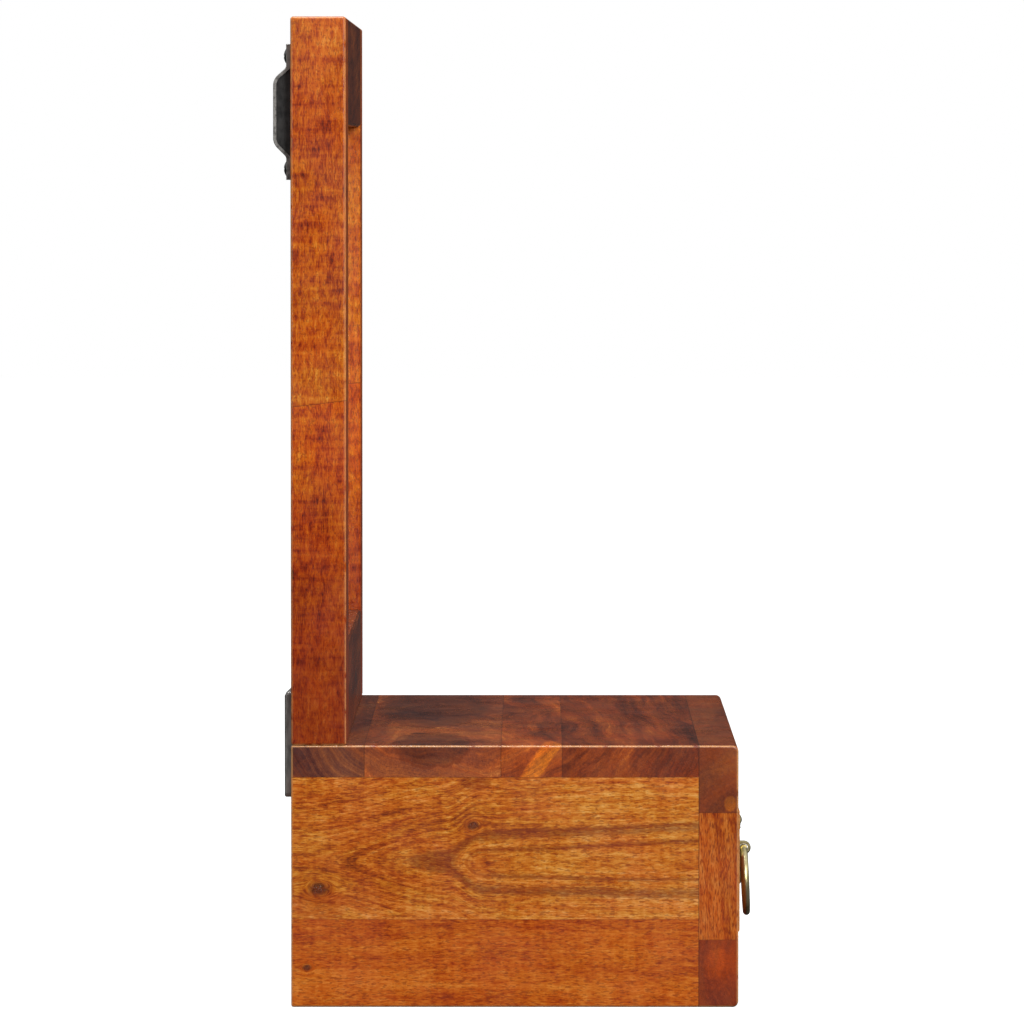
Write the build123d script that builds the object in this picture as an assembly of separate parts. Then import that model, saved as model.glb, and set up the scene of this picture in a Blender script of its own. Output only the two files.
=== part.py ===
from build123d import *
import math
import os

# Small vanity table with a mirror: a two-drawer case of solid wood with a framed
# mirror standing on its back edge. Millimetres, +Z up, -Y is the front, and the
# origin is on the ground under the middle of the whole object.

# ---------------------------------------------------------------- driving sizes
WIDTH = 400.0            # whole object, along X
CASE_DEPTH = 226.0       # case, front frame to back panel
CASE_HEIGHT = 132.5
TOTAL_HEIGHT = 500.0

BOARD = 16.0             # top and side panels
FRONT_FRAME = 20.0       # thickness of the front frame
RAIL_HEIGHT = 34.0       # upper and lower front rails
STILE_WIDTH = 33.0       # the three upright front stiles
BOTTOM_THICKNESS = 12.0
BACK_THICKNESS = 14.0
DIVIDER_THICKNESS = 12.0
HOUSING_DEPTH = 4.0      # groove that holds the divider in the top and bottom panels
CASE_EDGE = 1.2          # sanded edges of the case
FRONT_EDGE = 3.0         # larger rounding along the front's top and bottom

MIRROR_THICKNESS = 28.0  # mirror frame, along Y
MIRROR_STILE = 52.0
MIRROR_TOP_RAIL = 54.0
MIRROR_BOTTOM_RAIL = 50.0
MIRROR_EDGE = 1.5        # sanded outer edges of the mirror frame
OPENING_CHAMFER = 1.0    # eased front edge of the frame's opening
REBATE = 8.0             # width of the step that holds the glass
FRONT_LIP = 9.5          # wood in front of the glass
GLASS = 4.0
GLASS_PLAY = 1.0         # free space round the glass in its rebate
BACKING_BOARD = 3.0
BEAD = 8.0               # square wooden bead behind the backing board
TENON_THICKNESS = 9.0
TENON_LENGTH = 25.0
TENON_SHOULDER = 8.0     # from the rail's outer edge to its tenon
TENON_CLEAR = 2.0        # from the glass rebate to the tenon
BEAD_PIN_RADIUS = 0.7
BEAD_PIN_IN_FRAME = 8.0  # how far a pin enters the frame
BEAD_PIN_SPACING = 90.0  # along the upright beads, from the middle one
BEAD_PIN_XS = (-100.0, 0.0, 100.0)

DOWEL_RADIUS = 3.0       # slim dowels of the case, front frame and drawers
THICK_DOWEL_RADIUS = 4.0
GLUE_GAP = 0.05          # radial gap between a dowel and its hole
END_GAP = 1.0            # spare depth at each end of a dowel's hole
DOWEL_IN_BOARD = 9.5     # how far a dowel enters a 16 mm board from its edge face
DOWEL_IN_EDGE = 15.0     # how far it enters the end or edge of the other board
DOWEL_IN_RAIL = 7.5      # how far it enters a front rail from behind
TOP_DOWEL_YS = (-70.0, 5.0, 80.0)        # side panel to top panel
BOTTOM_DOWEL_YS = (-70.0, 0.0, 70.0)     # bottom panel to side panel
BACK_DOWEL_ZS = (30.0, 90.0)             # back panel to side panel
FRONT_DOWEL_ZS = (17.0, 66.0, 107.5)     # front frame to side panel
RAIL_DOWEL_XS = (-120.0, -40.0, 40.0, 120.0)
BACK_DOWEL_XS = (-100.0, 0.0, 100.0)     # back panel to top panel
FRAME_DOWEL_IN = 6.5     # front frame's dowels, behind its front face
FRAME_DOWEL_SPREAD = 8.0
FRAME_DOWEL_HALF = 12.0  # half the length of a front frame dowel
MIRROR_DOWEL_XS = (-130.0, -60.0, 60.0, 130.0)
MIRROR_DOWEL_RISE = 20.0
DRAWER_DOWEL_ZS = (56.0, 82.0)
DRAWER_BACK_DOWEL_RADIUS = 2.0
DRAWER_DOWEL_SKIN = 3.0  # wood left outside a drawer's back dowels

DRAWER_GAP = 1.0         # round the drawer front in its opening
DRAWER_PROUD = 1.5       # drawer front stands out from the front frame
DRAWER_FRONT = 16.0
DRAWER_SIDE = 10.0
DRAWER_BOTTOM = 4.0
DRAWER_LENGTH = 205.0    # front face to the back end
DRAWER_GROOVE = 5.0      # depth of the groove that holds the drawer bottom
GROOVE_HEIGHT = 6.0      # from the drawer side's lower edge to the groove
BOTTOM_PLAY = 0.3        # free space at the drawer bottom's edges
DRAWER_EDGE = 1.2
RUNNER_OVERHANG = 2.0    # runner reaches this far past the drawer side
GUIDE_GAP = 0.8          # between a drawer side and its guide
GUIDE_HEIGHT = 14.0
STOP_SIZE = (30.0, 20.0)

THROUGH = 1.0            # a cutter reaches this far past the face it opens
LONG = 20.0              # longer than any piece of a pull is thick
NEAR = 0.1               # picks the edges that lie at a known height

PIVOT_Z = 72.0           # where the ring hangs in its eye
PIVOT_OUT = 5.3          # ring wire's centre, out from the front frame
RING_RADIUS = 16.6       # centreline of the ring
WIRE_RADIUS = 1.85
EYE_RADIUS = 3.7
EYE_HOLE_RADIUS = 2.15
EYE_WIDTH = 4.2
EYE_SHANK_RADIUS = 2.5
EYE_RIVET_RADIUS = 3.6
EYE_RIVET_HEIGHT = 1.0
RIVET_ROOM = 0.2         # round the rivet in the drawer front
RING_LEAN = 2.5          # degrees that the ring's lower end leans out
PLATE_THICKNESS = 1.4
PLATE_RADIUS = 10.5
PLATE_EDGE = 0.4
NECK_WIDTH = 6.2         # between the disc and an ear
EAR_RADIUS = 3.6
EAR_OFFSET = 11.2
PULL_SCREW_HEAD = (2.5, 0.9)
PULL_SCREW_SHANK = (1.3, 11.0)
DOMED_SLOT = (0.8, 0.5)  # screwdriver slots: width, depth
FLAT_SLOT = (0.9, 1.2)

FITTING_X = 174.0        # centreline of the back fittings, under each mirror stile
FITTING_WIDTH = 30.0
HANGER_TOP = 13.7        # distances below the top of the mirror frame
HANGER_BOTTOM = 82.2
POCKET_TOP = (25.6, 31.4)       # where the upper sloped wall leaves the foot and meets the face
POCKET_BOTTOM = (64.0, 70.6)    # the same for the lower sloped wall, face first
HANGER_FOOT = 2.4        # foot thickness
HANGER_RAISE = 9.0       # outer face of the raised pocket, out from the wood
HANGER_WALL = 1.6
FLANK_INSET = 1.4        # closed flanks lie this far inside the pocket's rim
FLANK_WALL = 2.0
RIM_EDGE = 0.5
KNEE_RADIUS = 7.0        # outer face of the bends at the raised face
FOOT_BEND_RADIUS = 3.0
KEYHOLE_RADIUS = 5.0
KEYHOLE_SLOT_RADIUS = 2.5
KEYHOLE_DROP = 54.0      # entry hole's centre, below the top of the frame
KEYHOLE_SLOT_RISE = 14.0
HANGER_SCREW_DROPS = (19.7, 76.6)
HANGER_SCREW_HEAD = (4.3, 1.6)
HANGER_SCREW_SHANK = (1.8, 18.0)

PLATE_HEIGHT = 54.0      # joining plate across the seam of case and mirror frame
JOINING_PLATE = 3.5
JOINING_CHAMFER = 2.6
JOINING_EDGE = 0.9
JOINING_CORNER = 2.5     # less than the chamfer, which then takes in the upper corners
JOINING_SCREW_OFFSETS = (-19.0, -9.0, 9.0, 19.0)
JOINING_SCREW_HEAD = (3.4, 1.9)
JOINING_SCREW_SHANK = (1.6, 16.0)

# ---------------------------------------------------------------- derived places
HALF_WIDTH = WIDTH / 2
FRONT_Y = -CASE_DEPTH / 2
BACK_Y = CASE_DEPTH / 2
FRAME_BACK_Y = FRONT_Y + FRONT_FRAME
BACK_PANEL_Y = BACK_Y - BACK_THICKNESS
UNDER_TOP = CASE_HEIGHT - BOARD
INNER_X = HALF_WIDTH - BOARD
RAIL_TOP_Z = CASE_HEIGHT - RAIL_HEIGHT
STILE_INNER_X = HALF_WIDTH - STILE_WIDTH
MIRROR_FRONT_Y = BACK_Y - MIRROR_THICKNESS
GLASS_Y = MIRROR_FRONT_Y + FRONT_LIP
OPENING_X = HALF_WIDTH - MIRROR_STILE
OPENING_Z = (CASE_HEIGHT + MIRROR_BOTTOM_RAIL, TOTAL_HEIGHT - MIRROR_TOP_RAIL)
DRAWER_WIDTH = STILE_INNER_X - STILE_WIDTH / 2 - 2 * DRAWER_GAP
DRAWER_X = (STILE_INNER_X + STILE_WIDTH / 2) / 2
DRAWER_FACE_Y = FRONT_Y - DRAWER_PROUD
DRAWER_BEHIND_FRONT = DRAWER_FACE_Y + DRAWER_FRONT
DRAWER_BACK_Y = DRAWER_FACE_Y + DRAWER_LENGTH
DRAWER_TOP_Z = RAIL_TOP_Z - DRAWER_GAP
DRAWER_FLOOR_Z = RAIL_HEIGHT + GROOVE_HEIGHT + DRAWER_BOTTOM
PIVOT_Y = FRONT_Y - PIVOT_OUT
PLATE_BACK_Y = DRAWER_FACE_Y
PLATE_FACE_Y = DRAWER_FACE_Y - PLATE_THICKNESS


# ---------------------------------------------------------------- helpers
def block(x, y, z):
    """A box given by its (low, high) range along each axis."""
    ranges = (x, y, z)
    size = [high - low for low, high in ranges]
    middle = [(high + low) / 2 for low, high in ranges]
    return Pos(*middle) * Box(*size)


def rod(radius, start, end):
    """A round bar from one point to another."""
    along = Vector(*end) - Vector(*start)
    from_end = (Align.CENTER, Align.CENTER, Align.MIN)
    return Plane(origin=start, z_dir=along) * Cylinder(radius, along.length, align=from_end)


def hole(radius, start, end):
    """The hole for a dowel: a little wider, and deeper at both ends."""
    step = (Vector(*end) - Vector(*start)).normalized() * END_GAP
    return rod(radius + GLUE_GAP, tuple(Vector(*start) - step), tuple(Vector(*end) + step))


def drilled(piece, dowels):
    """The piece with the holes of every dowel in the list."""
    for dowel in dowels:
        piece = piece - hole(*dowel)
    return piece


def group(solids):
    """Separate solids that share one node."""
    return Compound(children=list(solids))


def save(name, shape):
    """Write one node."""
    export_step(shape, "parts/" + name + ".step")


def both_sides():
    """The two sides of the object: its name and the sign of X."""
    return (("left", -1), ("right", 1))


def side_range(sign, inner, outer):
    """The X range of a piece between two distances from the middle, on one side."""
    return tuple(sorted((sign * inner, sign * outer)))


# ---------------------------------------------------------------- dowels
def case_dowel_list():
    """Every dowel of the case: (radius, start, end)."""
    dowels = []
    edge_x = HALF_WIDTH - BOARD / 2
    in_board = INNER_X + DOWEL_IN_BOARD
    in_edge = INNER_X - DOWEL_IN_EDGE
    rail_depth = FRAME_BACK_Y - DOWEL_IN_RAIL
    behind_rail = FRAME_BACK_Y + DOWEL_IN_EDGE
    top_z = UNDER_TOP + DOWEL_IN_BOARD
    back_y = BACK_Y - BACK_THICKNESS / 2
    bottom_z = BOTTOM_THICKNESS / 2
    for sign in (-1, 1):
        for y in TOP_DOWEL_YS:
            low = (sign * edge_x, y, UNDER_TOP - DOWEL_IN_EDGE)
            dowels.append((THICK_DOWEL_RADIUS, low, (sign * edge_x, y, top_z)))
        for y in BOTTOM_DOWEL_YS:
            inside = (sign * in_edge, y, bottom_z)
            dowels.append((DOWEL_RADIUS, inside, (sign * in_board, y, bottom_z)))
        for z in BACK_DOWEL_ZS:
            inside = (sign * in_edge, back_y, z)
            dowels.append((DOWEL_RADIUS, inside, (sign * in_board, back_y, z)))
        for z in FRONT_DOWEL_ZS:
            front = (sign * edge_x, rail_depth, z)
            dowels.append((DOWEL_RADIUS, front, (sign * edge_x, behind_rail, z)))
    for x in RAIL_DOWEL_XS:
        for z in (bottom_z, CASE_HEIGHT - BOARD / 2):
            dowels.append((DOWEL_RADIUS, (x, rail_depth, z), (x, behind_rail, z)))
    for x in BACK_DOWEL_XS:
        low = (x, back_y, UNDER_TOP - DOWEL_IN_EDGE)
        dowels.append((DOWEL_RADIUS, low, (x, back_y, top_z)))
    return dowels


def front_frame_dowel_list():
    """Two dowels at each end of the three front stiles."""
    dowels = []
    y = FRONT_Y + FRAME_DOWEL_IN
    outer = HALF_WIDTH - STILE_WIDTH / 2
    for middle in (-outer, 0.0, outer):
        for x in (middle - FRAME_DOWEL_SPREAD, middle + FRAME_DOWEL_SPREAD):
            for seam in (RAIL_HEIGHT, RAIL_TOP_Z):
                low = (x, y, seam - FRAME_DOWEL_HALF)
                dowels.append((DOWEL_RADIUS, low, (x, y, seam + FRAME_DOWEL_HALF)))
    return dowels


def mirror_dowel_list():
    """Dowels that stand the mirror frame on the top panel."""
    y = BACK_Y - MIRROR_THICKNESS / 2
    low = CASE_HEIGHT - DOWEL_IN_BOARD
    high = CASE_HEIGHT + MIRROR_DOWEL_RISE
    return [(THICK_DOWEL_RADIUS, (x, y, low), (x, y, high)) for x in MIRROR_DOWEL_XS]


CASE_DOWELS = case_dowel_list()
FRONT_DOWELS = front_frame_dowel_list()
MIRROR_DOWELS = mirror_dowel_list()


# ---------------------------------------------------------------- the case
def case_envelope():
    """The sanded outside of the glued-up case."""
    body = block((-HALF_WIDTH, HALF_WIDTH), (FRONT_Y, BACK_Y), (0, CASE_HEIGHT))
    front_edges = body.faces().sort_by(Axis.Y)[0].edges().filter_by(Axis.X)
    body = fillet(front_edges, FRONT_EDGE)
    back_edges = body.faces().sort_by(Axis.Y)[-1].edges().filter_by(Axis.X)
    body = fillet(back_edges, CASE_EDGE)
    ends = body.faces().filter_by(Axis.X)
    return fillet([edge for end in ends for edge in end.edges()], CASE_EDGE)


def housing():
    """The space of the centre divider, with its grooves."""
    half = DIVIDER_THICKNESS / 2
    low = BOTTOM_THICKNESS - HOUSING_DEPTH
    return block((-half, half), (FRAME_BACK_Y, BACK_PANEL_Y), (low, UNDER_TOP + HOUSING_DEPTH))


def build_case():
    envelope = case_envelope()
    divider = housing()
    full_x = (-HALF_WIDTH, HALF_WIDTH)
    behind_frame = (FRAME_BACK_Y, BACK_Y)
    front = (FRONT_Y, FRAME_BACK_Y)

    top = block(full_x, behind_frame, (UNDER_TOP, CASE_HEIGHT)) & envelope
    save("top_panel", drilled(top - divider, CASE_DOWELS + MIRROR_DOWELS) - back_screw_holes())

    for name, sign in both_sides():
        side = block(side_range(sign, INNER_X, HALF_WIDTH), behind_frame, (0, UNDER_TOP)) & envelope
        side = drilled(side, CASE_DOWELS) - back_screw_holes()
        save("side_panel_" + name, side)

    inner_x = (-INNER_X, INNER_X)
    floor = block(inner_x, (FRAME_BACK_Y, BACK_PANEL_Y), (0, BOTTOM_THICKNESS))
    save("bottom_panel", drilled(floor - divider, CASE_DOWELS))

    back = block(inner_x, (BACK_PANEL_Y, BACK_Y), (0, UNDER_TOP)) & envelope
    save("back_panel", drilled(back, CASE_DOWELS) - back_screw_holes())
    save("centre_divider", divider)

    rail_low = block(full_x, front, (0, RAIL_HEIGHT)) & envelope
    rail_high = block(full_x, front, (RAIL_TOP_Z, CASE_HEIGHT)) & envelope
    save("front_rail_bottom", drilled(rail_low, CASE_DOWELS + FRONT_DOWELS))
    save("front_rail_top", drilled(rail_high, CASE_DOWELS + FRONT_DOWELS))

    between_rails = (RAIL_HEIGHT, RAIL_TOP_Z)
    for name, sign in both_sides():
        stile = block(side_range(sign, STILE_INNER_X, HALF_WIDTH), front, between_rails) & envelope
        save("front_stile_" + name, drilled(stile, CASE_DOWELS + FRONT_DOWELS))
    half = STILE_WIDTH / 2
    centre = block((-half, half), front, between_rails)
    save("front_stile_centre", drilled(centre, FRONT_DOWELS))

    save("case_dowels", group(rod(*dowel) for dowel in CASE_DOWELS))
    save("front_frame_dowels", group(rod(*dowel) for dowel in FRONT_DOWELS))


def build_drawer_supports():
    """Runners, guides, kickers and stops that the drawers slide between."""
    depth = (FRAME_BACK_Y, BACK_PANEL_Y)
    outer_reach = DRAWER_X + DRAWER_WIDTH / 2 - DRAWER_SIDE - RUNNER_OVERHANG
    inner_reach = DRAWER_X - DRAWER_WIDTH / 2 + DRAWER_SIDE + RUNNER_OVERHANG
    outer_guide = DRAWER_X + DRAWER_WIDTH / 2 + GUIDE_GAP
    inner_guide = DRAWER_X - DRAWER_WIDTH / 2 - GUIDE_GAP
    beside_divider = DIVIDER_THICKNESS / 2
    strips = [(outer_reach, INNER_X), (beside_divider, inner_reach)]
    fences = [(outer_guide, INNER_X), (beside_divider, inner_guide)]
    runners = []
    guides = []
    kickers = []
    stops = []
    stop_width, stop_height = STOP_SIZE
    middle_z = (RAIL_HEIGHT + RAIL_TOP_Z) / 2
    for sign in (-1, 1):
        for near, far in strips:
            x = side_range(sign, near, far)
            runners.append(block(x, depth, (BOTTOM_THICKNESS, RAIL_HEIGHT)))
            kickers.append(block(x, depth, (RAIL_TOP_Z, UNDER_TOP)))
        for near, far in fences:
            x = side_range(sign, near, far)
            guides.append(block(x, depth, (RAIL_HEIGHT, RAIL_HEIGHT + GUIDE_HEIGHT)))
        x = (sign * DRAWER_X - stop_width / 2, sign * DRAWER_X + stop_width / 2)
        z = (middle_z - stop_height / 2, middle_z + stop_height / 2)
        stops.append(block(x, (DRAWER_BACK_Y, BACK_PANEL_Y), z))
    save("drawer_runners", group(runners))
    save("drawer_guides", group(guides))
    save("drawer_kickers", group(kickers))
    save("drawer_stops", group(stops))


# ---------------------------------------------------------------- the mirror
def mirror_envelope():
    """The sanded outside of the glued-up mirror frame, with its opening's eased edge."""
    x = (-HALF_WIDTH, HALF_WIDTH)
    body = block(x, (MIRROR_FRONT_Y, BACK_Y), (CASE_HEIGHT, TOTAL_HEIGHT))
    body = fillet(body.edges(), MIRROR_EDGE)
    width = 2 * OPENING_X
    height = OPENING_Z[1] - OPENING_Z[0]
    middle = (0, MIRROR_FRONT_Y, (OPENING_Z[0] + OPENING_Z[1]) / 2)
    face = Plane(origin=middle, x_dir=(1, 0, 0), z_dir=(0, 1, 0))
    wide = face * Rectangle(width + 2 * OPENING_CHAMFER, height + 2 * OPENING_CHAMFER)
    return body - extrude(wide, OPENING_CHAMFER, taper=45)


def rebate():
    """The stepped recess behind the opening, for glass, board and beads."""
    x = (-OPENING_X - REBATE, OPENING_X + REBATE)
    return block(x, (GLASS_Y, BACK_Y + THROUGH), (OPENING_Z[0] - REBATE, OPENING_Z[1] + REBATE))


def tenon_pair(low, high):
    """The two tenons of a rail, at its left and right ends."""
    y = (GLASS_Y, GLASS_Y + TENON_THICKNESS)
    return [block(side_range(sign, OPENING_X, OPENING_X + TENON_LENGTH), y, (low, high))
            for sign in (-1, 1)]


def mortise(tenon):
    """The slot for a tenon, END_GAP deeper than the tenon is long."""
    box = tenon.bounding_box()
    low, high = sorted((box.min.X, box.max.X), key=abs)
    deep = high + END_GAP * (1 if high > 0 else -1)
    x = tuple(sorted((low, deep)))
    return block(x, (box.min.Y, box.max.Y), (box.min.Z, box.max.Z))


def bead_ranges():
    """The X and Z ranges of the four beads round the back of the glass."""
    x = OPENING_X + REBATE
    low = OPENING_Z[0] - REBATE
    high = OPENING_Z[1] + REBATE
    uprights = [(side_range(sign, x - BEAD, x), (low + BEAD, high - BEAD)) for sign in (-1, 1)]
    return uprights + [((-x, x), (low, low + BEAD)), ((-x, x), (high - BEAD, high))]


def bead_pin_list():
    """Panel pins through the beads into the frame: (radius, start, end)."""
    y = GLASS_Y + GLASS + BACKING_BOARD + BEAD / 2
    wall_x = OPENING_X + REBATE
    low = OPENING_Z[0] - REBATE
    high = OPENING_Z[1] + REBATE
    middle = (low + high) / 2
    pins = []
    tip_x = wall_x + BEAD_PIN_IN_FRAME
    for z in (middle - BEAD_PIN_SPACING, middle, middle + BEAD_PIN_SPACING):
        for sign in (-1, 1):
            head = (sign * (wall_x - BEAD), y, z)
            pins.append((BEAD_PIN_RADIUS, head, (sign * tip_x, y, z)))
    for x in BEAD_PIN_XS:
        low_tip = (x, y, low - BEAD_PIN_IN_FRAME)
        high_tip = (x, y, high + BEAD_PIN_IN_FRAME)
        pins.append((BEAD_PIN_RADIUS, (x, y, low + BEAD), low_tip))
        pins.append((BEAD_PIN_RADIUS, (x, y, high - BEAD), high_tip))
    return pins


def build_mirror():
    envelope = mirror_envelope()
    recess = rebate()
    pins = bead_pin_list()
    screw_holes = back_screw_holes()
    from_opening = REBATE + TENON_CLEAR
    top_tenons = tenon_pair(OPENING_Z[1] + from_opening, TOTAL_HEIGHT - TENON_SHOULDER)
    bottom_tenons = tenon_pair(CASE_HEIGHT + TENON_SHOULDER, OPENING_Z[0] - from_opening)
    mortises = [mortise(tenon) for tenon in top_tenons + bottom_tenons]
    y = (MIRROR_FRONT_Y, BACK_Y)
    pin_rods = [rod(*pin) for pin in pins]

    for name, sign in both_sides():
        x = side_range(sign, OPENING_X, HALF_WIDTH)
        stile = block(x, y, (CASE_HEIGHT, TOTAL_HEIGHT)) & envelope
        stile = stile - recess - mortises - screw_holes - pin_rods
        save("mirror_stile_" + name, stile)

    between = (-OPENING_X, OPENING_X)
    top = block(between, y, (OPENING_Z[1], TOTAL_HEIGHT)) & envelope
    save("mirror_rail_top", top - recess + top_tenons - pin_rods - screw_holes)
    bottom = block(between, y, (CASE_HEIGHT, OPENING_Z[0])) & envelope
    bottom = drilled(bottom, MIRROR_DOWELS)
    save("mirror_rail_bottom", bottom - recess + bottom_tenons - pin_rods - screw_holes)

    pane_x = (-OPENING_X - REBATE + GLASS_PLAY, OPENING_X + REBATE - GLASS_PLAY)
    pane_z = (OPENING_Z[0] - REBATE + GLASS_PLAY, OPENING_Z[1] + REBATE - GLASS_PLAY)
    board_y = GLASS_Y + GLASS
    bead_y = board_y + BACKING_BOARD
    save("mirror_glass", block(pane_x, (GLASS_Y, board_y), pane_z))
    save("mirror_backing_board", block(pane_x, (board_y, bead_y), pane_z))
    beads = [block(x, (bead_y, bead_y + BEAD), z) - pin_rods for x, z in bead_ranges()]
    save("backing_beads", group(beads))
    save("bead_pins", group(pin_rods))
    save("mirror_frame_dowels", group(rod(*dowel) for dowel in MIRROR_DOWELS))


# ---------------------------------------------------------------- back fittings
def domed_screw(head, shank, seat, out, sunk=0.0):
    """A screw with a domed head: seat is the point under its head, out points away."""
    head_radius, head_height = head
    shank_radius, shank_length = shank
    ball_radius = (head_radius ** 2 + head_height ** 2) / (2 * head_height)
    seat_plane = Plane(origin=seat, z_dir=out)
    ball = Pos(0, 0, head_height - ball_radius) * Sphere(ball_radius)
    on_top = (Align.CENTER, Align.CENTER, Align.MIN)
    cap = ball & Cylinder(head_radius, head_height, align=on_top)
    if sunk:
        cap = cap + Cylinder(head_radius, sunk, align=(Align.CENTER, Align.CENTER, Align.MAX))
    below = (Align.CENTER, Align.CENTER, Align.MAX)
    body = cap + Cylinder(shank_radius, shank_length, align=below)
    slot_width, slot_depth = DOMED_SLOT
    slot = Box(slot_width, 2 * head_radius, slot_depth)
    return seat_plane * (body - Pos(0, 0, head_height) * slot)


def countersunk_screw(head, shank, seat):
    """A flat-headed screw whose head is level with the point seat, facing +Y."""
    head_radius, head_height = head
    shank_radius, shank_length = shank
    seat_plane = Plane(origin=seat, z_dir=(0, 1, 0))
    below = (Align.CENTER, Align.CENTER, Align.MAX)
    cone = Cone(shank_radius, head_radius, head_height, align=below)
    body = cone + Cylinder(shank_radius, shank_length, align=below)
    slot_width, slot_depth = FLAT_SLOT
    slot = Box(slot_width, 2 * head_radius, slot_depth)
    return seat_plane * (body - slot)


def joining_screw_seats(sign):
    """The four screw places of one joining plate, on its outer face."""
    x = sign * FITTING_X
    return [(x, BACK_Y + JOINING_PLATE, CASE_HEIGHT + offset) for offset in JOINING_SCREW_OFFSETS]


def hanger_screw_seats(sign):
    """The two screw places of one hanger, on the face of its feet."""
    x = sign * FITTING_X
    return [(x, BACK_Y + HANGER_FOOT, TOTAL_HEIGHT - drop) for drop in HANGER_SCREW_DROPS]


def back_screw_holes():
    """Pilot holes in the wood for every screw of the back fittings."""
    holes = []
    for sign in (-1, 1):
        for x, y, z in joining_screw_seats(sign):
            radius, length = JOINING_SCREW_SHANK
            holes.append(rod(radius, (x, y - length, z), (x, y, z)))
        for x, y, z in hanger_screw_seats(sign):
            radius, length = HANGER_SCREW_SHANK
            holes.append(rod(radius, (x, y - length, z), (x, y, z)))
    return holes


def sloped_wall(ends, out, inset):
    """How far below the frame's top a sloped wall is, at a distance out from the wood."""
    at_foot, at_face = ends
    slope = (at_face - at_foot) / (HANGER_RAISE - HANGER_FOOT)
    shift = math.copysign(inset * math.hypot(1.0, slope), slope)
    return at_foot + (out - HANGER_FOOT) * slope + shift


def hanger_profile(inset):
    """Side outline of the hanger in the YZ plane; with an inset, of the hollow behind it."""
    upper = POCKET_TOP
    lower = tuple(reversed(POCKET_BOTTOM))
    face = HANGER_RAISE - inset
    outline = [
        (0, HANGER_TOP), (HANGER_FOOT, HANGER_TOP), (HANGER_FOOT, upper[0]),
        (face, upper[1]), (face, lower[1]),
        (HANGER_FOOT, lower[0]), (HANGER_FOOT, HANGER_BOTTOM), (0, HANGER_BOTTOM),
    ]
    if inset:
        outline = [
            (-THROUGH, sloped_wall(upper, -THROUGH, inset)), (face, sloped_wall(upper, face, inset)),
            (face, sloped_wall(lower, face, inset)), (-THROUGH, sloped_wall(lower, -THROUGH, inset)),
        ]
    profile = make_face(Polyline([(out, -drop) for out, drop in outline], close=True))
    knees = [corner for corner in profile.vertices() if abs(corner.X - face) < NEAR]
    profile = fillet(knees, KNEE_RADIUS - inset)
    if not inset:
        bends = [corner for corner in profile.vertices() if abs(corner.X - HANGER_FOOT) < NEAR
                 and min(abs(corner.Y + upper[0]), abs(corner.Y + lower[0])) < NEAR]
        profile = fillet(bends, FOOT_BEND_RADIUS)
    plane = Plane(origin=(0, BACK_Y, TOTAL_HEIGHT), x_dir=(0, 1, 0), z_dir=(1, 0, 0))
    return plane * profile


def hanger():
    """One raised keyhole hanger, centred on X = 0, against the back of the frame."""
    half = FITTING_WIDTH / 2
    strap = extrude(hanger_profile(0.0), half, both=True)
    outline_faces = strap.faces().filter_by(Axis.X)
    rim = [edge for face in outline_faces for edge in face.edges()
           if edge.center().Y > BACK_Y + NEAR]
    strap = fillet(rim, RIM_EDGE)

    cavity = extrude(hanger_profile(HANGER_WALL), half - FLANK_INSET - FLANK_WALL, both=True)
    pocket = extrude(hanger_profile(HANGER_WALL), half + THROUGH, both=True)
    keep = extrude(hanger_profile(HANGER_WALL), half - FLANK_INSET, both=True)
    strap = strap - (pocket - keep) - cavity

    entry_z = TOTAL_HEIGHT - KEYHOLE_DROP
    slot_z = entry_z + KEYHOLE_SLOT_RISE
    y = (BACK_Y + THROUGH, BACK_Y + HANGER_RAISE + THROUGH)
    entry = rod(KEYHOLE_RADIUS, (0, y[0], entry_z), (0, y[1], entry_z))
    slot_end = rod(KEYHOLE_SLOT_RADIUS, (0, y[0], slot_z), (0, y[1], slot_z))
    slot = block((-KEYHOLE_SLOT_RADIUS, KEYHOLE_SLOT_RADIUS), y, (entry_z, slot_z))
    strap = strap - entry - slot_end - slot
    for x, y_seat, z in hanger_screw_seats(0):
        radius = HANGER_SCREW_SHANK[0]
        strap = strap - rod(radius, (x, BACK_Y - THROUGH, z), (x, y_seat + THROUGH, z))
    return strap


def joining_plate():
    """One flat steel plate across the seam, centred on X = 0."""
    half_width = FITTING_WIDTH / 2
    half = PLATE_HEIGHT / 2
    z = (CASE_HEIGHT - half, CASE_HEIGHT + half)
    blank = block((-half_width, half_width), (BACK_Y, BACK_Y + JOINING_PLATE), z)
    outer = blank.faces().sort_by(Axis.Y)[-1]
    top_edge = outer.edges().filter_by(Axis.X).sort_by(Axis.Z)[-1]
    bevelled = chamfer(top_edge, JOINING_CHAMFER)
    rounded = fillet(blank.edges().filter_by(Axis.Y), JOINING_CORNER)
    rounded = fillet(rounded.faces().sort_by(Axis.Y)[-1].edges(), JOINING_EDGE)
    plate = rounded & bevelled
    for x, y, z_seat in joining_screw_seats(0):
        plate = plate - plate_screw_hole((x, y, z_seat))
    return plate


def plate_screw_hole(seat):
    """A countersunk hole through a joining plate."""
    head_radius, head_height = JOINING_SCREW_HEAD
    shank_radius = JOINING_SCREW_SHANK[0]
    below = (Align.CENTER, Align.CENTER, Align.MAX)
    cone = Cone(shank_radius, head_radius, head_height, align=below)
    return Plane(origin=seat, z_dir=(0, 1, 0)) * (cone + Cylinder(shank_radius, LONG, align=below))


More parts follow.
